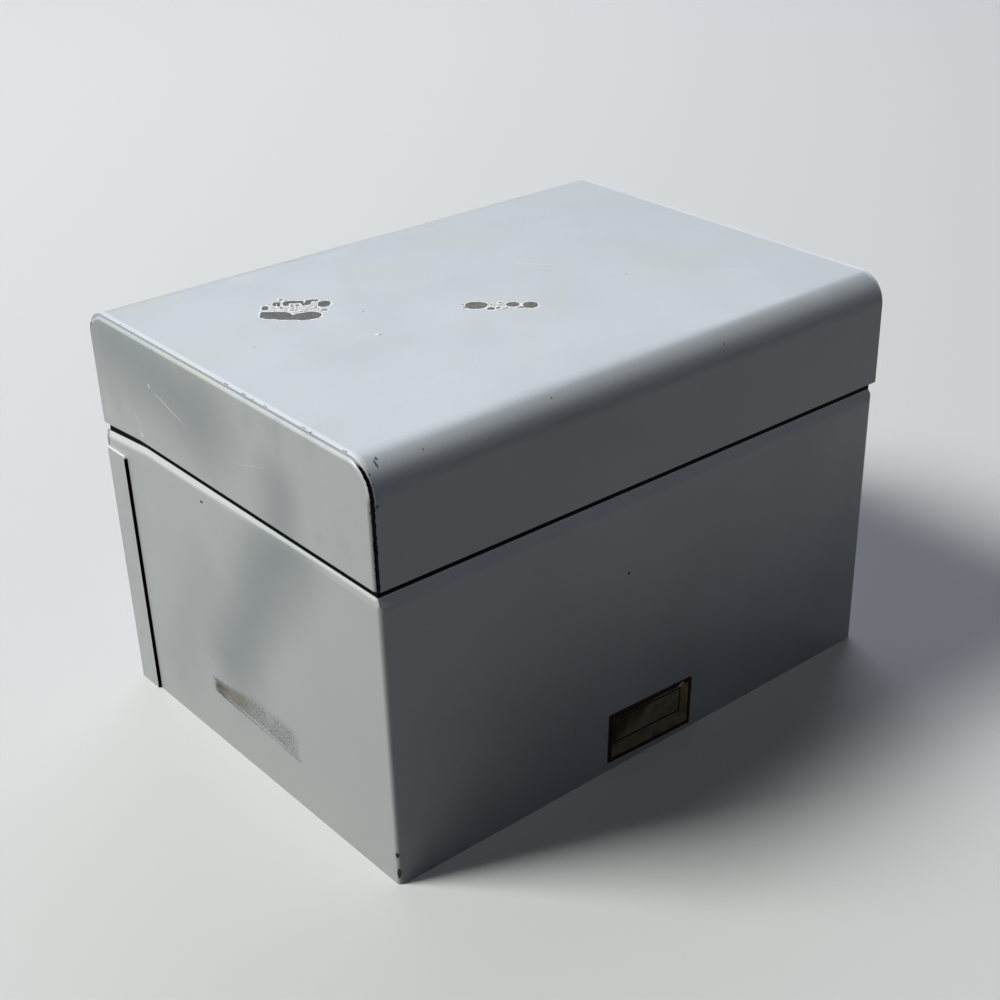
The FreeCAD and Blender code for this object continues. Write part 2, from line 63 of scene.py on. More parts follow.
ENAMEL = srgb(178, 184, 189)
ENAMEL_PALE = srgb(190, 196, 202)
ENAMEL_DULL = srgb(162, 168, 171)
ENAMEL_SHADE = srgb(138, 146, 147)
# Pale edge colour for worn paint and for painted highlights on edges that catch the light.
WORN_AND_LIT_EDGE = srgb(210, 216, 221)
ENAMEL_INSIDE = srgb(168, 173, 178)
STAIN = srgb(182, 188, 176)
YELLOW_TINT = srgb(206, 212, 178)
ENAMEL_WARM = srgb(181, 185, 184)
FLAKED = srgb(216, 217, 214)
# Near-white for rubbed paint, chip rims and scratches, and also for painted highlights.
RUBBED_AND_HIGHLIGHT = srgb(236, 238, 238)
BARE_STEEL = srgb(94, 95, 96)
BROWN_STEEL = srgb(110, 99, 86)
CHIP_SHADE = srgb(62, 60, 54)
RUST_STEEL = srgb(98, 86, 72)
# Black for real dirt, specks and chips, and also for painted shade deep in gaps.
DIRT_AND_SHADE_BLACK = srgb(9, 9, 9)
RUB_DARK = srgb(74, 74, 64)
RUB_OLIVE = srgb(126, 123, 108)
RUB_GREY = srgb(116, 120, 123)
ZINC = srgb(168, 168, 162)
ZINC_DULL = srgb(122, 123, 120)
SPRING_BLUE = srgb(62, 68, 82)
SPRING_STRAW = srgb(112, 96, 74)
FOIL_OLIVE = srgb(106, 101, 80)
FOIL_GOLD = srgb(128, 114, 48)
FOIL_TARNISH = srgb(66, 58, 44)
FOIL_BLACK = srgb(10, 8, 8)
FOIL_MAROON = srgb(60, 14, 19)
FLOOR = srgb(212, 213, 212)
FLOOR_BOUNCE = srgb(66, 68, 71)
KEY_LIGHT = srgb(255, 255, 252)
SKY_LIGHT = srgb(224, 231, 247)
WORLD_DIM = srgb(214, 222, 232)
BACKGROUND = srgb(214, 217, 221)
FLOOR_FADE_START, FLOOR_FADE_END = 1450.0, 2200.0   # distances from the part, in millimetres


# ---------------------------------------------------------------- materials, layer by layer
class Surface:
    """A material built up in layers. Colour, roughness, metallic and height are numbers or node outputs.

    Places are in millimetres in the part's own frame; heights are in millimetres too.
    """

    def __init__(self, name, colour, roughness, metallic=0.0):
        self.material = bpy.data.materials.new(name)
        self.material.use_nodes = True
        self.tree = self.material.node_tree
        self.shader = self.tree.nodes["Principled BSDF"]
        self.colour = colour
        self.roughness = roughness
        self.metallic = metallic
        self.coat = None
        self.height = None
        object_place = self.node("ShaderNodeTexCoord").outputs["Object"]
        self.place = self.vector("SCALE", object_place, scale=1000.0)
        axes = self.node("ShaderNodeSeparateXYZ", {"Vector": self.place}).outputs
        self.x, self.y, self.z = axes["X"], axes["Y"], axes["Z"]
        normal = self.node("ShaderNodeNewGeometry").outputs["True Normal"]
        facing = self.node("ShaderNodeVectorTransform", {"Vector": normal})
        facing.vector_type = "NORMAL"
        facing.convert_from = "WORLD"
        facing.convert_to = "OBJECT"
        sides = self.node("ShaderNodeSeparateXYZ", {"Vector": facing.outputs["Vector"]}).outputs
        self.normal_x, self.normal_y, self.normal_z = sides["X"], sides["Y"], sides["Z"]

    # ---- nodes
    def node(self, kind, inputs=None):
        """Adds a node and fills its inputs with numbers, colours or other nodes' outputs."""
        node = self.tree.nodes.new(kind)
        for name, value in (inputs or {}).items():
            self.feed(node.inputs[name], value)
        return node

    def feed(self, socket, value):
        """Links an output to a socket, or sets the socket's own value."""
        if isinstance(value, bpy.types.NodeSocket):
            self.tree.links.new(value, socket)
        else:
            socket.default_value = value

    def math(self, operation, first, second=0.0, clamp=False):
        node = self.node("ShaderNodeMath", {0: first, 1: second})
        node.operation = operation
        node.use_clamp = clamp
        return node.outputs[0]

    def vector(self, operation, first, second=None, scale=None):
        node = self.tree.nodes.new("ShaderNodeVectorMath")
        node.operation = operation
        self.feed(node.inputs[0], first)
        if second is not None:
            self.feed(node.inputs[1], second)
        if scale is not None:
            self.feed(node.inputs["Scale"], scale)
        single = operation in ("DOT_PRODUCT", "LENGTH", "DISTANCE")
        return node.outputs["Value" if single else "Vector"]

    def noise(self, size, detail=3.0, stretch=(1, 1, 1), place=None, shift=(0, 0, 0)):
        """Noise from 0 to 1 whose blobs are about size millimetres across, longer along stretched axes."""
        scale = Vector([1 / (size * value) for value in stretch])
        where = self.vector("MULTIPLY", place or self.place, scale)
        where = self.vector("ADD", where, shift)
        texture = self.node("ShaderNodeTexNoise", {"Vector": where, "Scale": 1.0, "Detail": detail})
        return texture.outputs["Fac"]

    def ramp(self, value, start, end, low=0.0, high=1.0):
        """Smooth step from low at start to high at end."""
        node = self.node("ShaderNodeMapRange", {
            "Value": value, "From Min": start, "From Max": end, "To Min": low, "To Max": high,
        })
        node.interpolation_type = "SMOOTHSTEP"
        return node.outputs["Result"]

    def mix(self, factor, first, second):
        """Blend of two numbers."""
        node = self.node("ShaderNodeMix", {"Factor": factor})
        node.data_type = "FLOAT"
        self.feed(node.inputs["A"], first)
        self.feed(node.inputs["B"], second)
        return node.outputs["Result"]

    def mix_colour(self, factor, first, second):
        node = self.tree.nodes.new("ShaderNodeMix")
        node.data_type = "RGBA"
        for name, value in ((0, factor), (6, first), (7, second)):
            self.feed(node.inputs[name], value)
        return node.outputs[2]

    # ---- masks
    def both(self, first, second):
        return self.math("MULTIPLY", first, second)

    def either(self, first, second):
        return self.math("MAXIMUM", first, second)

    def inverse(self, mask):
        return self.math("SUBTRACT", 1.0, mask)

    def left_end(self):
        """1 on the left end of the part, the one that the photograph shows."""
        return self.ramp(self.x, -END_WALL + 2.0, -END_WALL + 0.5)

    def band(self, value, middle, half, soft):
        """1 where value is within half of middle, falling to 0 over soft."""
        away = self.math("ABSOLUTE", self.math("SUBTRACT", value, middle))
        return self.ramp(away, half, half + soft, 1.0, 0.0)

    def wobble(self, size, amount):
        """The place pushed about by up to amount millimetres, for ragged outlines."""
        pushes = [self.noise(size, 3.0, shift=(17 * axis, 5, 3)) for axis in (1, 2, 3)]
        push = self.node("ShaderNodeCombineXYZ", {"X": pushes[0], "Y": pushes[1], "Z": pushes[2]})
        centred = self.vector("SUBTRACT", push.outputs["Vector"], (0.5, 0.5, 0.5))
        return self.vector("ADD", self.place, self.vector("SCALE", centred, scale=2 * amount))

    def oval(self, place, centre, along, across):
        """Distance from centre measured in an oval's own radii: 1 on its outline.

        along and across are vectors whose dot products with the distance give its two shares.
        """
        away = self.vector("SUBTRACT", place, Vector(centre))
        first = self.vector("DOT_PRODUCT", away, Vector(along))
        second = self.vector("DOT_PRODUCT", away, Vector(across))
        first_square = self.math("MULTIPLY", first, first)
        second_square = self.math("MULTIPLY", second, second)
        return self.math("SQRT", self.math("ADD", first_square, second_square))

    def stroke(self, start, end, place=None):
        """Distance from the line between two points, and how far along it (0 to 1)."""
        start, end = Vector(start), Vector(end)
        run = end - start
        away = self.vector("SUBTRACT", place or self.place, start)
        share = self.vector("DOT_PRODUCT", away, run / run.length_squared)
        share = self.math("MINIMUM", self.math("MAXIMUM", share, 0.0), 1.0)
        nearest = self.vector("SCALE", run, scale=share)
        return self.vector("LENGTH", self.vector("SUBTRACT", away, nearest)), share

    def scratch(self, start, end, half_width, colour, strength=1.0, depth=0.0):
        """One thin straight scratch that tapers to its ends."""
        distance, share = self.stroke(start, end, self.wobble(6.0, 0.25))
        taper = self.math("MULTIPLY", self.math("MULTIPLY", share, self.inverse(share)), 4.0)
        width = self.math("MULTIPLY", self.math("ADD", taper, 0.15), half_width)
        inside = self.ramp(self.math("DIVIDE", distance, width), 0.5, 1.3, strength, 0.0)
        broken = self.ramp(self.noise(1.2, 2.0), 0.3, 0.5)
        self.cover(self.both(inside, broken), colour, height=-depth)

    # ---- layers
    def cover(self, mask, colour=None, roughness=None, metallic=None, height=0.0):
        """Lays a layer over the surface where mask is 1; height raises or sinks it.

        A rough layer takes the gloss coat away with it.
        """
        if colour is not None:
            self.colour = self.mix_colour(mask, self.colour, colour)
        if roughness is not None:
            self.roughness = self.mix(mask, self.roughness, roughness)
            if self.coat is not None and roughness > 0.55:
                self.coat = self.mix(mask, self.coat, 0.0)
        if metallic is not None:
            self.metallic = self.mix(mask, self.metallic, metallic)
        if height:
            self.raise_by(self.math("MULTIPLY", mask, height))

    def spot(self, ragged, centre, along, across, colour,
             strength=1.0, solid=0.8, where=None, roughness=0.7):
        """A small oval spot, whole out to the share solid of its radii.

        ragged is the wobbled place, along and across are as in oval, and where is a mask that
        keeps the spot off other sides of the part.
        """
        mask = self.ramp(self.oval(ragged, centre, along, across), solid, 1.1, strength, 0.0)
        if where is not None:
            mask = self.both(mask, where)
        self.cover(mask, colour, roughness)

    def shade_black(self, mask):
        """Painted shade in a gap that no light comes back from: black, without a pale sheen."""
        self.cover(mask, DIRT_AND_SHADE_BLACK, 0.85, 1.0)

    def raise_by(self, height):
        self.height = height if self.height is None else self.math("ADD", self.height, height)

    def done(self):
        """Connects the layers to the shader and returns the material."""
        self.feed(self.shader.inputs["Base Color"], self.colour)
        self.feed(self.shader.inputs["Roughness"], self.roughness)
        self.feed(self.shader.inputs["Metallic"], self.metallic)
        if self.coat is not None:
            self.feed(self.shader.inputs["Coat Weight"], self.coat)
        if self.height is not None:
            bump = self.node("ShaderNodeBump", {"Height": self.height, "Distance": MM, "Strength": 1.0})
            self.feed(self.shader.inputs["Normal"], bump.outputs["Normal"])
        return self.material


# ---------------------------------------------------------------- enamel
def enamel(name, colour=ENAMEL):
    """Old semi-gloss enamel: slight clouding, orange peel, fine scratches, specks and wavy sheet."""
    paint = Surface(name, colour, 0.4)
    paint.coat = 0.25
    clouds = paint.noise(70.0, 3.0)
    paint.cover(paint.ramp(clouds, 0.52, 0.8, 0.0, 0.5), ENAMEL_DULL)
    paint.cover(paint.ramp(paint.noise(14.0, 4.0), 0.55, 0.8, 0.0, 0.3), ENAMEL_PALE)
    handling = paint.ramp(paint.noise(28.0, 5.0, shift=(9, 2, 4)), 0.4, 0.7)
    paint.roughness = paint.mix(handling, 0.33, 0.46)

    for angle, shift in ((0.5, 0.0), (-0.8, 11.0), (1.4, 23.0)):
        turned = paint.node("ShaderNodeVectorRotate", {"Vector": paint.place, "Angle": angle})
        turned.inputs["Axis"].default_value = (0.6, 0.5, 0.62)
        hair = paint.noise(1.0, 1.0, (60.0, 0.35, 0.35), turned.outputs["Vector"], (shift, 0, 0))
        fine = paint.both(paint.ramp(hair, 0.745, 0.78), paint.ramp(paint.noise(25.0, 2.0), 0.5, 0.65))
        paint.cover(fine, FLAKED, 0.55)

    specks = paint.ramp(paint.noise(1.1, 1.0, shift=(3, 8, 5)), 0.8, 0.83, 0.0, 0.6)
    paint.cover(specks, DIRT_AND_SHADE_BLACK, 0.7)
    paint.raise_by(paint.math("MULTIPLY", paint.noise(1.3, 2.0), 0.012))
    paint.raise_by(paint.math("MULTIPLY", paint.noise(75.0, 1.0, shift=(4, 4, 1)), 1.1))
    paint.shader.inputs["Specular IOR Level"].default_value = 0.5
    paint.shader.inputs["Coat Roughness"].default_value = 0.16
    return paint


def chip_off(paint, gap, steel, seed):
    """Bare steel where gap, the distance in millimetres outside the chip, is below 0.

    A pale ragged rim of broken paint stands round it, and the chip is darkest along its edge: partly
    darker steel, partly painted shadow of the broken paint's edge.
    """
    grain = paint.ramp(paint.noise(1.0, 3.0, shift=(seed, 0, 0)), 0.4, 0.62, 0.0, 0.8)
    metal = paint.mix_colour(grain, steel, CHIP_SHADE)
    rim_width = paint.ramp(paint.noise(1.2, 3.0, shift=(seed, 4, 4)), 0.35, 0.65, 0.1, 0.85)
    paint.cover(paint.ramp(paint.math("SUBTRACT", gap, rim_width), -0.05, 0.1, 1.0, 0.0), RUBBED_AND_HIGHLIGHT, 0.7)
    paint.cover(paint.ramp(gap, -0.06, 0.06, 1.0, 0.0), metal, 0.62, height=-0.06)
    # Darker outline of the chip: partly darker steel, partly painted shadow of the paint's broken edge.
    paint.cover(paint.band(gap, -0.2, 0.12, 0.25), paint.mix_colour(0.6, metal, CHIP_SHADE), 0.65)


def edge_chips(paint, along_edge, size, amount):
    """Small dark chips, about size millimetres across, scattered where along_edge is 1."""
    ragged = paint.ramp(paint.noise(size, 3.0, shift=(31, 7, 2)), amount, amount + 0.05)
    paint.cover(paint.both(along_edge, ragged), DIRT_AND_SHADE_BLACK, 0.7, height=-0.05)


# Two worn patches on the lid. They lie across the box at the same slant: ROW runs along a patch and
# RISE across it, as millimetres in X and Y. Each chip is a stroke with round ends:
# (along, across, end along, end across, half width).
ROW = Vector((0.757, -0.653, 0))
RISE = Vector((0.55, 0.835, 0))
PATCH_LARGE = {
    "centre": (-58.4, 30.6, LID_TOP), "steel": BARE_STEEL,
    "flaking": (0.0, 2.4, 10.6, 6.2), "chips": (
        (-8.2, -5.5, -4.4, -5.8, 3.2), (-4.6, -7.2, 2.6, -7.5, 2.2), (2.6, -6.7, 5.2, -5.8, 3.3),
        (-10.3, -3.5, -8.9, -3.9, 1.2), (-9.8, -6.0, -8.8, -6.0, 1.8), (-9.9, 0.3, -9.9, 1.9, 1.0),
        (-6.8, 5.6, -5.3, 5.8, 0.6), (-7.0, 5.3, -6.8, 3.4, 0.5), (-5.5, 4.8, -5.5, 3.1, 0.5),
        (-2.8, 6.3, 1.8, 6.5, 1.1), (-3.2, 5.4, -3.0, 3.9, 0.9), (2.3, 5.4, 2.8, 3.4, 0.4),
        (4.9, 7.7, 7.0, 7.9, 0.8), (4.5, 7.2, 4.0, 4.6, 1.0), (9.6, 3.8, 9.8, 5.4, 2.0),
        (8.5, 5.8, 9.0, 5.8, 0.8), (9.1, -1.2, 10.2, -1.1, 0.6), (-1.1, 2.9, -0.9, 2.8, 0.5),
        (0.5, 3.1, 1.1, 3.7, 0.5), (-4.9, 8.8, -4.7, 8.8, 0.5), (-4.7, 1.6, -4.5, 1.6, 0.5),
        (-1.5, -1.4, 0.7, -0.6, 0.3),
    ),
}
PATCH_SMALL = {
    "centre": (-6.0, -13.0, LID_TOP), "steel": BROWN_STEEL,
    "flaking": (0.4, -0.4, 8.4, 3.4), "chips": (
        (-9.0, 0.1, -8.0, 0.1, 3.2), (-4.0, -3.0, -3.8, -3.0, 1.2), (-1.6, -2.7, -1.3, -2.3, 0.6),
        (3.6, 0.6, 3.8, 0.6, 2.1), (6.1, -2.1, 6.5, -2.1, 0.7), (9.5, -0.5, 9.6, 0.4, 2.4),
        (-0.3, 2.5, -0.1, 2.5, 0.5), (-13.0, 0.7, -12.7, 0.7, 0.3), (-12.8, -2.2, -12.4, -2.0, 0.4),
    ),
}


def worn_patch(paint, patch, seed):
    """Chips of the patch, with flaking paint between them."""
    centre = Vector(patch["centre"])
    on_top = paint.ramp(paint.z, LID_TOP - 1.0, LID_TOP - 0.5)
    ragged = paint.wobble(1.5, 0.32)
    nearest = None
    for row, rise, end_row, end_rise, half_width in patch["chips"]:
        start = centre + ROW * row + RISE * rise
        end = centre + ROW * end_row + RISE * end_rise
        gap = paint.math("SUBTRACT", paint.stroke(start, end, ragged)[0], half_width)
        nearest = gap if nearest is None else paint.math("MINIMUM", nearest, gap)

    row, rise, half_row, half_rise = patch["flaking"]
    middle = centre + ROW * row + RISE * rise
    normal = ROW.cross(RISE)
    along = RISE.cross(normal) / normal.length_squared / half_row
    across = normal.cross(ROW) / normal.length_squared / half_rise
    whole = paint.oval(paint.wobble(2.6, 1.2), middle, along, across)
    flaking = paint.both(paint.ramp(whole, 0.8, 1.1, 1.0, 0.0), on_top)
    spotty = paint.ramp(paint.noise(1.1, 4.0, (1.6, 0.8, 1.0), shift=(seed, 1, 1)), 0.38, 0.5)
    paint.cover(paint.both(flaking, spotty), FLAKED, 0.7)
    crumbs = paint.both(flaking, paint.ramp(paint.noise(0.8, 2.0, shift=(seed, 6, 2)), 0.56, 0.62))
    paint.cover(crumbs, CHIP_SHADE, 0.65, height=-0.03)
    lower_down = paint.ramp(on_top, 0.0, 1.0, 9.0, 0.0)
    chip_off(paint, paint.math("ADD", nearest, lower_down), patch["steel"], seed)


EDGE_MARKS = (-6.8, -16.7, -28.4, -48.1, -68.4)    # dark marks along the lid's left upper edge: Y
TOP_SPECKS = (          # bare specks on the lid's top: X, Y and half width
    (-50.9, -6.6, 0.45), (-43.0, 13.5, 0.4), (-86.0, 12.0, 0.35), (44.0, -20.0, 0.35),
)
ROLL_MARKS = (          # small chips on the front roll: X, Z, half width and half height
    (-103.6, 144.3, 0.35, 0.9), (-102.6, 145.2, 0.45, 0.3), (-107.0, 142.9, 0.3, 0.3),
    (-106.9, 134.0, 0.5, 0.5), (-88.0, 143.9, 0.25, 0.4), (-40.0, 144.5, 0.3, 0.25),
    (31.0, 142.4, 0.3, 0.3),
)


def below_seam_top(paint):
    """1 where the seam between sheet and end plate gets painted shade: it starts higher on the front roll.
    """
    seam_top = paint.ramp(paint.y, -60.0, -40.0, LID_TOP - 1.5, LID_TOP - 5.1)
    return paint.ramp(paint.math("SUBTRACT", paint.z, seam_top), 0.5, -0.6)


def top_marks(paint):
    """A flake, a few bare specks and a faint scratch on the lid's top."""
    paint.spot(paint.wobble(1.2, 0.4), (-51.3, -5.6, LID_TOP), (1.2, 0, 0), (0, 1.2, 0), RUBBED_AND_HIGHLIGHT, 0.8)
    for x, y, half in TOP_SPECKS:
        ragged = paint.wobble(1.0, 0.25)
        paint.spot(ragged, (x, y, LID_TOP), (0.8 / half, 0, 0), (0, 1 / half, 0), BARE_STEEL, 0.8)
    paint.scratch((20.0, 20.0, LID_TOP), (34.0, 2.0, LID_TOP), 0.25, RUBBED_AND_HIGHLIGHT, 0.2)


def roll_marks(paint):
    """Mottled paint and small chips on the lid's front roll."""
    roll = paint.ramp(paint.y, FRONT_ROLL + 4, FRONT_ROLL - 4)
    upper = paint.ramp(paint.z, LID_TOP - 9.5, LID_TOP - 5.5)
    mottle = paint.ramp(paint.noise(0.9, 4.0, shift=(7, 0, 0)), 0.56, 0.72, 0.0, 0.4)
    paint.cover(paint.both(paint.both(roll, upper), mottle), ENAMEL_DULL, 0.5)
    at_front = paint.ramp(paint.y, FRONT_ROLL + 0.6, FRONT_ROLL - 1.4)
    for x, z, half_x, half_z in ROLL_MARKS:
        ragged = paint.wobble(0.8, 0.25)
        centre = (x, LID_LOW.y + 2.5, z)
        paint.spot(ragged, centre, (1 / half_x, 0, 0), (0, 0, 1 / half_z), DIRT_AND_SHADE_BLACK, 0.85, where=at_front)


def lid_sheet_enamel():
    """The lid's bent sheet: worn patches, faint stains, a marked front roll, painted shade along the cut
    edges at the seams, and pale edges that are partly wear, partly painted highlight.
    """
    paint = enamel("lid_enamel")
    up = paint.ramp(paint.normal_z, 0.7, 0.9)
    stains = paint.ramp(paint.noise(38.0, 3.0, shift=(2, 6, 9)), 0.5, 0.72, 0.0, 0.4)
    paint.cover(paint.both(stains, up), STAIN, 0.46)
    worn_patch(paint, PATCH_LARGE, 3.0)
    worn_patch(paint, PATCH_SMALL, 8.0)
    top_marks(paint)
    roll_marks(paint)

    from_end = paint.math("SUBTRACT", LID_HALF, paint.math("ABSOLUTE", paint.x))
    ragged_end = paint.math("SUBTRACT", from_end, paint.ramp(paint.noise(1.6, 3.0), 0.5, 0.65, 0.0, 0.18))
    # Painted shade: a ragged black line along the sheet's cut edges where they meet the end plates.
    paint.shade_black(paint.both(paint.ramp(ragged_end, 0.14, 0.22, 1.0, 0.0), below_seam_top(paint)))
    # Pale strip along the top's edges near the ends: worn paint and a painted highlight where the edge
    # catches the light.
    pale_edge = paint.both(paint.ramp(from_end, 1.3, 2.3, 0.85, 0.0), up)
    paint.cover(pale_edge, WORN_AND_LIT_EDGE, 0.45)
    # Painted highlight: a thin pale line on the sheet's cut edge towards the front roll.
    high = paint.ramp(paint.z, LID_TOP - 12.5, LID_TOP - 9.0)
    pale_line = paint.both(paint.band(from_end, 0.5, 0.12, 0.12), high)
    towards_front = paint.ramp(paint.y, FRONT_ROLL + 10.6, FRONT_ROLL + 0.6)
    paint.cover(paint.both(pale_line, towards_front), RUBBED_AND_HIGHLIGHT, 0.5)
    for y in EDGE_MARKS:
        ragged = paint.wobble(0.9, 0.5)
        centre = (-LID_HALF + 0.45, y, LID_TOP)
        paint.spot(ragged, centre, (1 / 0.25, 0, 0), (0, 1 / 1.4, 0), CHIP_SHADE, 0.8, solid=0.7)
    edge_chips(paint, paint.ramp(from_end, 0.9, 1.6, 1.0, 0.0), 1.5, 0.68)
    return paint.done()


def painted_reflection_zones(paint, zones):
    """Broad soft darker zones painted on the left end as reflections: (start Y, start Z, end Y, end Z,
    half width, strength).
    """
    level = paint.vector("MULTIPLY", paint.wobble(60.0, 8.0), (0, 1, 1))
    for start_y, start_z, end_y, end_z, half, strength in zones:
        distance, _ = paint.stroke((0, start_y, start_z), (0, end_y, end_z), level)
        zone = paint.ramp(distance, 0.0, half * 2.2, strength, 0.0)
        paint.cover(paint.both(zone, paint.left_end()), ENAMEL_SHADE)


def lid_end_enamel(side):
    """An end plate: painted reflections on the left end, painted shade in the seam under the sheet,
    scratches, and an upper edge painted pale as worn paint and highlight.
    """
    paint = enamel("lid_end_enamel_" + ("left" if side < 0 else "right"), ENAMEL_WARM)
    # Painted reflections: broad darker zones on the left end plate.
    painted_reflection_zones(paint, ((66.0, 140.0, 12.0, 132.0, 14.0, 0.9), (-32.0, 118.0, -30.0, 108.0, 9.0, 0.7)))
    outwards = paint.math("MULTIPLY", paint.x, side)
    # Pale rounded rim and top edge of the plate: worn paint and a painted highlight where the rounding
    # catches the light.
    rim = paint.ramp(outwards, PLATE_FACE - 0.03, PLATE_FACE - 0.15)
    worn_and_lit_rim = paint.both(rim, paint.ramp(paint.z, LID_TOP - 12.5, LID_TOP - 8.5))
    paint.cover(paint.both(worn_and_lit_rim, 0.6), WORN_AND_LIT_EDGE, 0.42)
    paint.cover(paint.ramp(paint.z, LID_TOP - 1.2, LID_TOP - 0.6, 0.0, 0.8), WORN_AND_LIT_EDGE, 0.45)
    below_bend = paint.ramp(paint.z, LID_TOP - 4.0, LID_TOP - 8.5)
    bent_corner = paint.both(below_bend, paint.ramp(paint.y, FRONT_ROLL + 0.6, FRONT_ROLL - 5.4))
    paint.cover(paint.both(worn_and_lit_rim, bent_corner), RUBBED_AND_HIGHLIGHT, 0.42)
    # Painted shade: a ragged black line in the seam where the plate meets the sheet's cut edge, on outward
    # faces.
    ragged = paint.math("SUBTRACT", outwards, paint.ramp(paint.noise(1.4, 3.0), 0.45, 0.65, 0.0, 0.12))
    near_sheet = paint.ramp(ragged, LID_HALF + 0.31, LID_HALF + 0.23)
    in_seam = paint.both(near_sheet, paint.ramp(outwards, LID_HALF - 0.15, LID_HALF - 0.05))
    facing_out = paint.ramp(paint.math("MULTIPLY", paint.normal_x, side), -0.5, -0.2)
    paint.shade_black(paint.both(paint.both(in_seam, facing_out), below_seam_top(paint)))
    upper_rim = paint.both(rim, paint.ramp(paint.z, LID_TOP - 3.5, LID_TOP - 2.5))
    edge_chips(paint, upper_rim, 1.3, 0.7)
    if side < 0:
        tint = paint.both(paint.band(paint.y, 18.0, 12.0, 12.0), paint.ramp(paint.z, 144.0, 145.6))
        paint.cover(paint.both(tint, 0.35), YELLOW_TINT)
        face = -PLATE_FACE
        paint.scratch((face, 40.7, 129.7), (face, 18.9, 123.4), 0.3, RUBBED_AND_HIGHLIGHT, 0.55, 0.01)
        paint.scratch((face, 54.3, 118.0), (face, 51.1, 110.0), 0.3, RUBBED_AND_HIGHLIGHT, 0.4, 0.01)
        paint.scratch((face, 51.6, 110.6), (face, 50.9, 108.6), 0.8, RUBBED_AND_HIGHLIGHT, 0.6)
        paint.scratch((face, -8.0, 121.0), (face, -30.0, 127.0), 0.25, RUBBED_AND_HIGHLIGHT, 0.2)
        paint.scratch((face, 42.5, 131.2), (face, 40.5, 130.0), 0.6, RUBBED_AND_HIGHLIGHT, 0.5)
        front_edge = (face, LID_LOW.y + 0.5, 132.1)
        paint.spot(paint.wobble(1.0, 0.4), front_edge, (0, 0.9, 0), (0, 0, 1.1), DIRT_AND_SHADE_BLACK, roughness=0.8)
    else:
        paint.scratch((PLATE_FACE, -20.0, 118.0), (PLATE_FACE, 14.0, 129.0), 0.3, RUBBED_AND_HIGHLIGHT, 0.4)
    smudge = paint.ramp(paint.noise(16.0, 4.0, (1, 1, 1.6), shift=(2, 2, 2)), 0.55, 0.75, 0.0, 0.45)
    paint.cover(smudge, ENAMEL_DULL, 0.5)
    return paint.done()


RUB_HEAD = Vector((-END_WALL, 24.0, 21.6))
RUB_TAIL = Vector((-END_WALL, -27.5, 19.2))


def rub_mark(paint):
    """The long rub on the left end: olive at its head, then speckled grey, sharp along its lower edge."""
    ragged = paint.wobble(1.3, 0.8)
    _, share = paint.stroke(RUB_HEAD, RUB_TAIL, ragged)
    rough_z = paint.vector("DOT_PRODUCT", ragged, (0, 0, 1))
    height = paint.math("SUBTRACT", rough_z, paint.mix(share, 20.4, 18.8))
    width = paint.mix(paint.ramp(share, 0.0, 0.6), 7.0, 12.5)
    rise = paint.math("DIVIDE", height, width)
    above = paint.both(paint.ramp(height, -0.3, 0.4), paint.ramp(rise, 0.6, 1.0, 1.0, 0.0))
    rough_y = paint.vector("DOT_PRODUCT", paint.wobble(1.6, 2.2), (0, 1, 0))
    along = paint.both(paint.ramp(rough_y, 26.5, 22.5), paint.ramp(rough_y, -29.5, -22.0))
    left_end = paint.left_end()
    area = paint.both(paint.both(above, along), left_end)
    patchy = paint.ramp(paint.noise(6.0, 2.0), 0.2, 0.5)
    grain = paint.both(paint.ramp(paint.noise(0.6, 4.0), 0.46, 0.54), patchy)
    paint.cover(paint.both(area, paint.mix(grain, 0.15, 0.95)), RUB_GREY, 0.6)
    smear = paint.both(paint.ramp(share, 0.5, 0.28), paint.ramp(rise, 0.75, 0.95, 1.0, 0.0))
    streaks = paint.ramp(paint.noise(2.2, 4.0, (1, 3.0, 0.7)), 0.3, 0.6, 0.55, 0.95)
    olive = paint.mix_colour(paint.ramp(share, 0.0, 0.22), RUB_DARK, RUB_OLIVE)
    paint.cover(paint.both(area, paint.both(smear, streaks)), olive, 0.62)
    paint.scratch((-END_WALL, 20.0, 21.3), (-END_WALL, -25.0, 19.4), 0.4, RUBBED_AND_HIGHLIGHT, 0.45)
    bent = paint.wobble(5.0, 0.3)
    line_distance, _ = paint.stroke((-END_WALL, 22.0, 20.4), (-END_WALL, -27.8, 18.6), bent)
    line = paint.both(paint.ramp(line_distance, 0.15, 0.5, 0.6, 0.0), left_end)
    broken = paint.ramp(paint.noise(3.0, 3.0, shift=(5, 5, 5)), 0.4, 0.5, 0.3, 1.0)
    paint.cover(paint.both(line, broken), BARE_STEEL, 0.6, height=-0.03)


END_CHIPS = (           # small chips on the left end wall: Y, Z, half width and half height
    (17.7, 97.3, 1.0, 0.45), (-79.6, 11.6, 0.6, 1.1), (-79.8, 4.3, 0.6, 2.1),
)


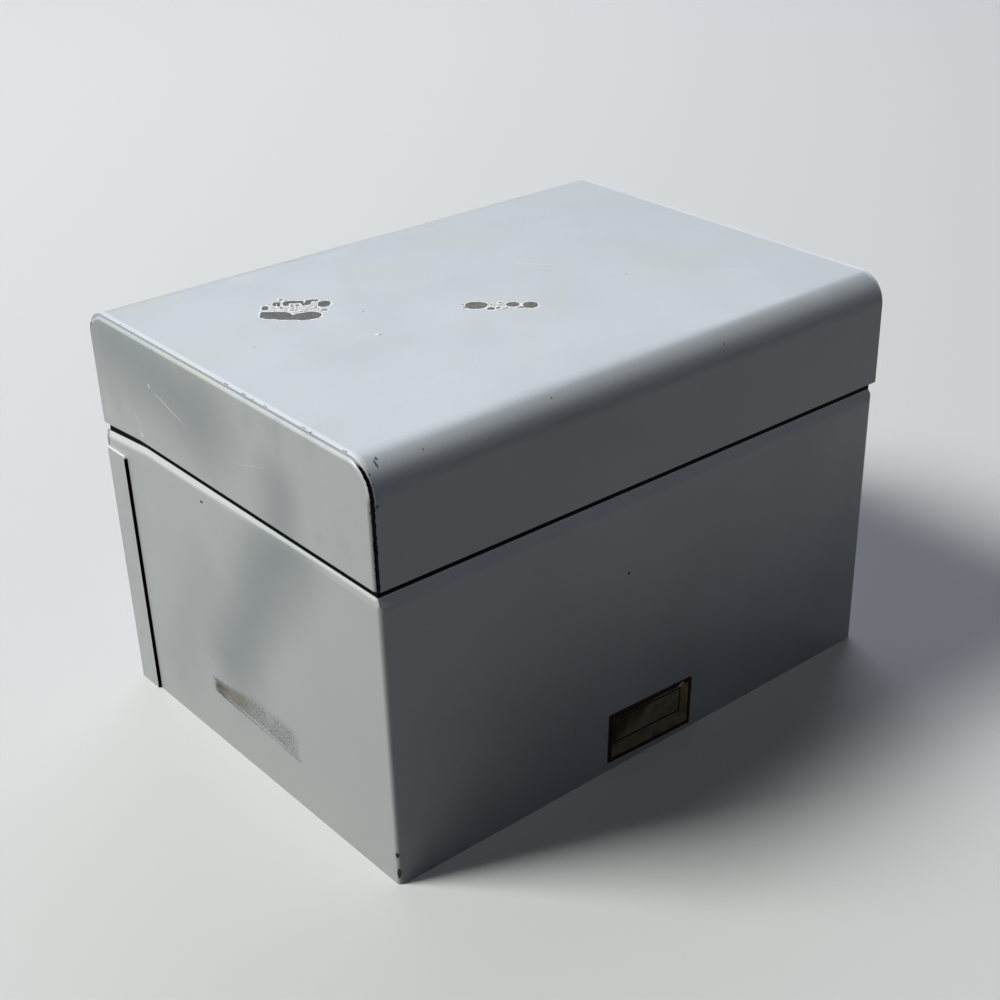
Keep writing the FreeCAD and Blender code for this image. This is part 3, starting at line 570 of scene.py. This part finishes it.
def body_enamel():
    """Front and end walls: the rub, a few chips, painted reflections on the left end, a painted highlight
    on the shoulder, and painted shade in the gap under the lid's edge and along the back panel's flanges.
    """
    paint = enamel("body_enamel")
    from_middle = paint.math("ABSOLUTE", paint.x)
    at_end = paint.ramp(from_middle, END_WALL - 2.0, END_WALL - 0.8)
    paint.cover(at_end, ENAMEL_WARM)
    # Painted reflections: broad darker zones on the left end wall.
    painted_reflection_zones(paint, ((-36.0, 108.0, 10.0, 42.0, 12.0, 0.95), (26.0, 70.0, 50.0, 20.0, 9.0, 0.3)))
    rub_mark(paint)
    for y, z, half_y, half_z in END_CHIPS:
        ragged = paint.wobble(1.5, 0.3)
        centre = (-END_WALL, y, z)
        paint.spot(ragged, centre, (0, 1 / half_y, 0), (0, 0, 1 / half_z), DIRT_AND_SHADE_BLACK, where=paint.left_end())
    at_front = paint.ramp(paint.y, FRONT_WALL + 1.5, FRONT_WALL + 0.5)
    dot = (-10.9, FRONT_WALL, 75.0)
    paint.spot(paint.place, dot, (1.4, 0, 0), (0, 0, 1.4), DIRT_AND_SHADE_BLACK, 0.8, where=at_front)

    # Painted shadow: black line on the end walls along the back panel's flange edges, where the flange's
    # shadow falls.
    seam = paint.both(paint.band(paint.y, FLANGE_EDGE, 0.75, 0.35), paint.ramp(paint.z, 95.0, 94.2))
    paint.shade_black(paint.both(seam, at_end))

    # Painted highlight: the upper part of the shoulder band on the end walls is painted near-white.
    past_relief = paint.math("MAXIMUM", paint.math("SUBTRACT", paint.y, RELIEF_START), 0.0)
    sunk = paint.math("MULTIPLY", past_relief, RELIEF_SLOPE)
    level = paint.math("ADD", paint.z, sunk)    # height above the shoulder's own slope
    start = paint.mix(paint.ramp(paint.y, -60.0, 40.0), SHOULDER_FOOT + 1.4, SHOULDER_FOOT + 0.2)
    shoulder_highlight = paint.ramp(paint.math("SUBTRACT", level, start), 0.0, 1.3, 0.0, 0.85)
    shoulder_highlight = paint.both(shoulder_highlight, paint.ramp(from_middle, END_WALL - 0.8, END_WALL - 0.65))
    behind_corner = paint.ramp(paint.y, FRONT_WALL + 1.6, FRONT_WALL + 3.0)
    paint.cover(paint.both(shoulder_highlight, behind_corner), RUBBED_AND_HIGHLIGHT, 0.35)
    end_outside = paint.ramp(from_middle, END_WALL - 1.1, END_WALL - 0.9)
    front_outside = paint.ramp(paint.y, FRONT_WALL + 2.3, FRONT_WALL + 2.0)
    outer_face = paint.either(end_outside, front_outside)
    # Painted shade: the neck's outer face just above the shoulder is black, as the gap under the lid's
    # edge is in deep shade; it fades out higher up.
    neck = paint.both(paint.ramp(level, SHOULDER_TOP - 0.15, SHOULDER_TOP + 0.25), outer_face)
    gap_shade_fade = paint.ramp(level, SHOULDER_TOP + 1.9, SHOULDER_TOP + 2.6, 1.0, 0.12)
    paint.shade_black(paint.both(neck, gap_shade_fade))
    low_corner = paint.both(paint.ramp(paint.z, 1.4, 0.6), paint.ramp(paint.noise(30.0, 2.0), 0.45, 0.6))
    edge_chips(paint, low_corner, 2.0, 0.66)
    return paint.done()


def back_enamel():
    """Back panel and its flanges, with painted shade along the flanges' front edge, a painted highlight on
    their top edge, and a worn lower edge.
    """
    paint = enamel("back_enamel")
    front_edge = paint.ramp(paint.normal_y, -0.5, -0.8)
    outside = paint.ramp(paint.math("ABSOLUTE", paint.x), END_WALL - 0.1, END_WALL)
    at_end = paint.ramp(paint.math("ABSOLUTE", paint.normal_x), 0.6, 0.9)
    paint.cover(at_end, ENAMEL_WARM)
    # Painted shade: the flanges' front edges are black.
    paint.shade_black(paint.both(front_edge, outside))
    # Painted highlight: the flanges' top edges are painted near-white.
    lit_top_edge = paint.both(paint.ramp(paint.normal_z, 0.3, 0.6), outside)
    paint.cover(lit_top_edge, RUBBED_AND_HIGHLIGHT, 0.5)
    edge_chips(paint, paint.ramp(paint.z, 1.5, 0.7), 2.0, 0.66)
    edge_chips(paint, paint.ramp(paint.z, 100.4, 101.0), 2.0, 0.66)
    paint.scratch((-40.0, BACK_WALL, 62.0), (-4.0, BACK_WALL, 55.0), 0.3, RUBBED_AND_HIGHLIGHT, 0.4)
    paint.scratch((52.0, BACK_WALL, 30.0), (64.0, BACK_WALL, 48.0), 0.3, RUBBED_AND_HIGHLIGHT, 0.35)
    return paint.done()


def inner_enamel(name):
    """Enamel that has seen less light and handling, rubbed along raised places."""
    paint = enamel(name, ENAMEL_INSIDE)
    rubs = paint.ramp(paint.noise(9.0, 5.0, (3, 1, 1)), 0.6, 0.72, 0.0, 0.5)
    paint.cover(rubs, ENAMEL_DULL, 0.55)
    return paint.done()


# ---------------------------------------------------------------- other finishes
def zinc_plate(name):
    """Dull zinc plating with drawing lines and soft clouds."""
    metal = Surface(name, ZINC, 0.38, 0.9)
    metal.cover(metal.ramp(metal.noise(7.0, 5.0), 0.4, 0.7, 0.0, 0.8), ZINC_DULL, 0.5)
    lines = metal.noise(0.6, 2.0, (1.0, 40.0, 1.0))
    metal.roughness = metal.math("ADD", metal.roughness, metal.ramp(lines, 0.3, 0.7, -0.06, 0.08))
    metal.raise_by(metal.math("MULTIPLY", lines, 0.008))
    specks = metal.ramp(metal.noise(1.4, 2.0, shift=(5, 5, 5)), 0.74, 0.78, 0.0, 0.7)
    metal.cover(specks, RUST_STEEL, 0.75, 0.2)
    return metal.done()


def spring_steel():
    """Heat-blued strip that turns to straw near its ends."""
    metal = Surface("spring_steel", SPRING_BLUE, 0.3, 0.95)
    metal.cover(metal.ramp(metal.noise(10.0, 3.0), 0.45, 0.7, 0.0, 0.7), SPRING_STRAW)
    lines = metal.noise(0.5, 2.0, (1.0, 30.0, 1.0))
    metal.roughness = metal.ramp(lines, 0.3, 0.7, 0.24, 0.36)
    metal.raise_by(metal.math("MULTIPLY", lines, 0.006))
    return metal.done()


LABEL_TILT = math.radians(2.0)
LABEL_HALF_WIDTH = 19.65
LABEL_HALF_HEIGHT = 9.7


def label_foil():
    """Blank foil label: maroon and black border, a framed panel over a strip, and a tarnished field."""
    foil = Surface("label_foil", FOIL_OLIVE, 0.4, 0.6)
    low, high = corners("front_label")
    from_middle = foil.vector("SUBTRACT", foil.place, (low + high) / 2)
    lean, level = math.sin(LABEL_TILT), math.cos(LABEL_TILT)
    right = foil.vector("DOT_PRODUCT", from_middle, (level, 0, -lean))
    up = foil.vector("DOT_PRODUCT", from_middle, (lean, 0, level))
    from_side = foil.math("SUBTRACT", LABEL_HALF_WIDTH, foil.math("ABSOLUTE", right))
    from_long_side = foil.math("SUBTRACT", LABEL_HALF_HEIGHT, foil.math("ABSOLUTE", up))
    from_edge = foil.math("MINIMUM", from_side, from_long_side)
    foil.cover(foil.ramp(right, 12.0, 17.5, 0.0, 0.55), FOIL_GOLD)
    foil.cover(foil.ramp(foil.noise(5.0, 5.0), 0.42, 0.62, 0.0, 0.75), FOIL_TARNISH, 0.5)
    dark_corner = foil.math("ADD", foil.math("MULTIPLY", right, -0.05), foil.math("MULTIPLY", up, 0.07))
    dark_corner = foil.math("ADD", dark_corner, foil.noise(6.0, 4.0, shift=(3, 1, 0)))
    foil.cover(foil.ramp(dark_corner, 0.8, 1.3, 0.0, 0.85), FOIL_BLACK, 0.6, 0.9)
    past_side = foil.math("SUBTRACT", foil.math("ABSOLUTE", foil.math("ADD", right, 1.5)), 15.4)
    past_top = foil.math("SUBTRACT", foil.math("ABSOLUTE", foil.math("SUBTRACT", up, 2.5)), 4.6)
    frame_line = foil.band(foil.math("MAXIMUM", past_side, past_top), 0.0, 0.3, 0.1)
    foil.cover(frame_line, FOIL_BLACK, 0.5, 0.9)
    foil.cover(foil.ramp(from_edge, 1.65, 1.5), FOIL_BLACK, 0.45, 0.9)
    foil.cover(foil.ramp(from_edge, 0.65, 0.5), FOIL_MAROON, 0.45, 0.9)
    # A small pale nick at the label's upper right, partly a painted glint.
    foil.scratch((13.4, low.y, 19.8), (16.0, low.y, 20.8), 0.35, RUBBED_AND_HIGHLIGHT, 0.8)
    foil.raise_by(foil.math("MULTIPLY", foil.noise(2.5, 3.0), 0.04))
    return foil.done()


def dress(nodes, material):
    """Gives the CAD nodes a material in place of their own."""
    for name in nodes:
        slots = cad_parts[name].data.materials
        slots.clear()
        slots.append(material)


dress(["lid_shell"], lid_sheet_enamel())
dress(["lid_end_left"], lid_end_enamel(-1))
dress(["lid_end_right"], lid_end_enamel(1))
dress(["body_wrapper"], body_enamel())
dress(["back_panel"], back_enamel())
dress(["bottom_pan", "follower_plate", "hinge_left_base_leaf", "hinge_right_base_leaf",
       "hinge_left_lid_leaf", "hinge_right_lid_leaf"], inner_enamel("inner_enamel"))
dress(["card_rail", "rail_rivets", "follower_bracket", "follower_slider", "follower_rivets",
       "hinge_left_pin", "hinge_right_pin"], zinc_plate("zinc_plate"))
dress(["follower_spring"], spring_steel())
dress(["front_label"], label_foil())


# ---------------------------------------------------------------- floor, light and camera
IMAGE_SIZE = 1000                          # pixels
FOCAL_LENGTH = 1655.5                      # pixels
VIEW_TURN = math.radians(-40.748)          # about Z, from looking along +Y
VIEW_TILT = math.radians(29.531)           # downwards
VIEW_ROLL = math.radians(-0.746)
VIEW_PLACE = Vector((-0.3316, -0.4137, 0.3456))


def stage_material(name, seen, bounced):
    """Matt floor that looks pale but throws back only a little light on to the part.

    Far from the part the camera sees it fade into the plain background, so that it has no edge.
    """
    surface = Surface(name, seen, 0.9)
    rays = surface.node("ShaderNodeLightPath").outputs
    surface.colour = surface.mix_colour(rays["Is Diffuse Ray"], seen, bounced)
    away = surface.vector("LENGTH", surface.place)
    far = surface.both(surface.ramp(away, FLOOR_FADE_START, FLOOR_FADE_END), rays["Is Camera Ray"])
    lit = surface.shader.outputs["BSDF"]
    plain = surface.node("ShaderNodeEmission", {"Color": BACKGROUND, "Strength": 1.0}).outputs["Emission"]
    choice = surface.node("ShaderNodeMixShader", {0: far, 1: lit, 2: plain}).outputs["Shader"]
    surface.feed(surface.tree.nodes["Material Output"].inputs["Surface"], choice)
    return surface.done()


def floor_and_backdrop():
    """One sheet that lies under the part and curves up far behind it, square to the camera."""
    far = 9.0
    flat_end = 1.6
    bend = 0.6
    top = 6.0
    steps = 12
    profile = [(-far, 0.0), (flat_end, 0.0)]
    for step in range(1, steps + 1):
        turn = math.radians(90 * step / steps)
        profile.append((flat_end + bend * math.sin(turn), bend * (1 - math.cos(turn))))
    profile.append((flat_end + bend, top))
    vertices = [(side * far, y, z) for y, z in profile for side in (-1, 1)]
    faces = [(2 * row, 2 * row + 1, 2 * row + 3, 2 * row + 2) for row in range(len(profile) - 1)]
    mesh = bpy.data.meshes.new("floor")
    mesh.from_pydata(vertices, [], faces)
    for polygon in mesh.polygons:
        polygon.use_smooth = True
    floor = bpy.data.objects.new("floor", mesh)
    floor.rotation_euler = (0, 0, VIEW_TURN)
    bpy.context.collection.objects.link(floor)
    mesh.materials.append(stage_material("floor_paper", FLOOR, FLOOR_BOUNCE))


def soft_box(name, direction, distance, size, energy, colour):
    """Square area light that looks at the middle of the part from a direction."""
    light = bpy.data.lights.new(name, "AREA")
    light.color = colour[:3]
    light.shape = "SQUARE"
    light.size = size
    light.energy = energy
    lamp = bpy.data.objects.new(name, light)
    away = Vector(direction).normalized()
    target = Vector((0, 0, 0.07))
    lamp.location = target + away * distance
    lamp.rotation_euler = away.to_track_quat("Z", "Y").to_euler()
    bpy.context.collection.objects.link(lamp)


def lighting():
    """Sun-like key from behind left, weak sky from behind right, and a dim world that is seen as pale."""
    soft_box("key", (-0.66, 0.42, 0.86), distance=4.0, size=1.4, energy=175.0, colour=KEY_LIGHT)
    soft_box("sky", (0.5, 0.55, 0.66), distance=2.2, size=1.6, energy=17.0, colour=SKY_LIGHT)
    world = bpy.data.worlds.new("studio")
    world.use_nodes = True
    nodes, links = world.node_tree.nodes, world.node_tree.links
    dim = nodes["Background"]
    dim.inputs["Color"].default_value = WORLD_DIM
    dim.inputs["Strength"].default_value = 0.08
    seen = nodes.new("ShaderNodeBackground")
    seen.inputs["Color"].default_value = BACKGROUND
    choice = nodes.new("ShaderNodeMixShader")
    rays = nodes.new("ShaderNodeLightPath").outputs
    either = nodes.new("ShaderNodeMath")
    either.operation = "MAXIMUM"
    links.new(rays["Is Camera Ray"], either.inputs[0])
    links.new(rays["Is Glossy Ray"], either.inputs[1])
    links.new(either.outputs[0], choice.inputs["Fac"])
    links.new(dim.outputs["Background"], choice.inputs[1])
    links.new(seen.outputs["Background"], choice.inputs[2])
    links.new(choice.outputs["Shader"], nodes["World Output"].inputs["Surface"])
    bpy.context.scene.world = world


def camera():
    """Camera where the photograph was taken from, with its framing."""
    data = bpy.data.cameras.new("camera")
    data.sensor_width = 36.0
    data.lens = FOCAL_LENGTH / IMAGE_SIZE * data.sensor_width
    data.shift_x = -0.05
    data.shift_y = 0.05
    data.clip_start = 0.01
    level = math.cos(VIEW_TILT)
    back = Vector((math.sin(VIEW_TURN) * level, -math.cos(VIEW_TURN) * level, math.sin(VIEW_TILT)))
    level_right = Vector((math.cos(VIEW_TURN), math.sin(VIEW_TURN), 0))
    level_up = back.cross(level_right)
    right = level_right * math.cos(VIEW_ROLL) + level_up * math.sin(VIEW_ROLL)
    up = level_up * math.cos(VIEW_ROLL) - level_right * math.sin(VIEW_ROLL)
    view = bpy.data.objects.new("camera", data)
    axes = Matrix((right, up, back)).transposed().to_4x4()
    view.matrix_world = Matrix.Translation(VIEW_PLACE) @ axes
    bpy.context.collection.objects.link(view)
    bpy.context.scene.camera = view


floor_and_backdrop()
lighting()
camera()
bpy.context.scene.view_settings.view_transform = "Standard"
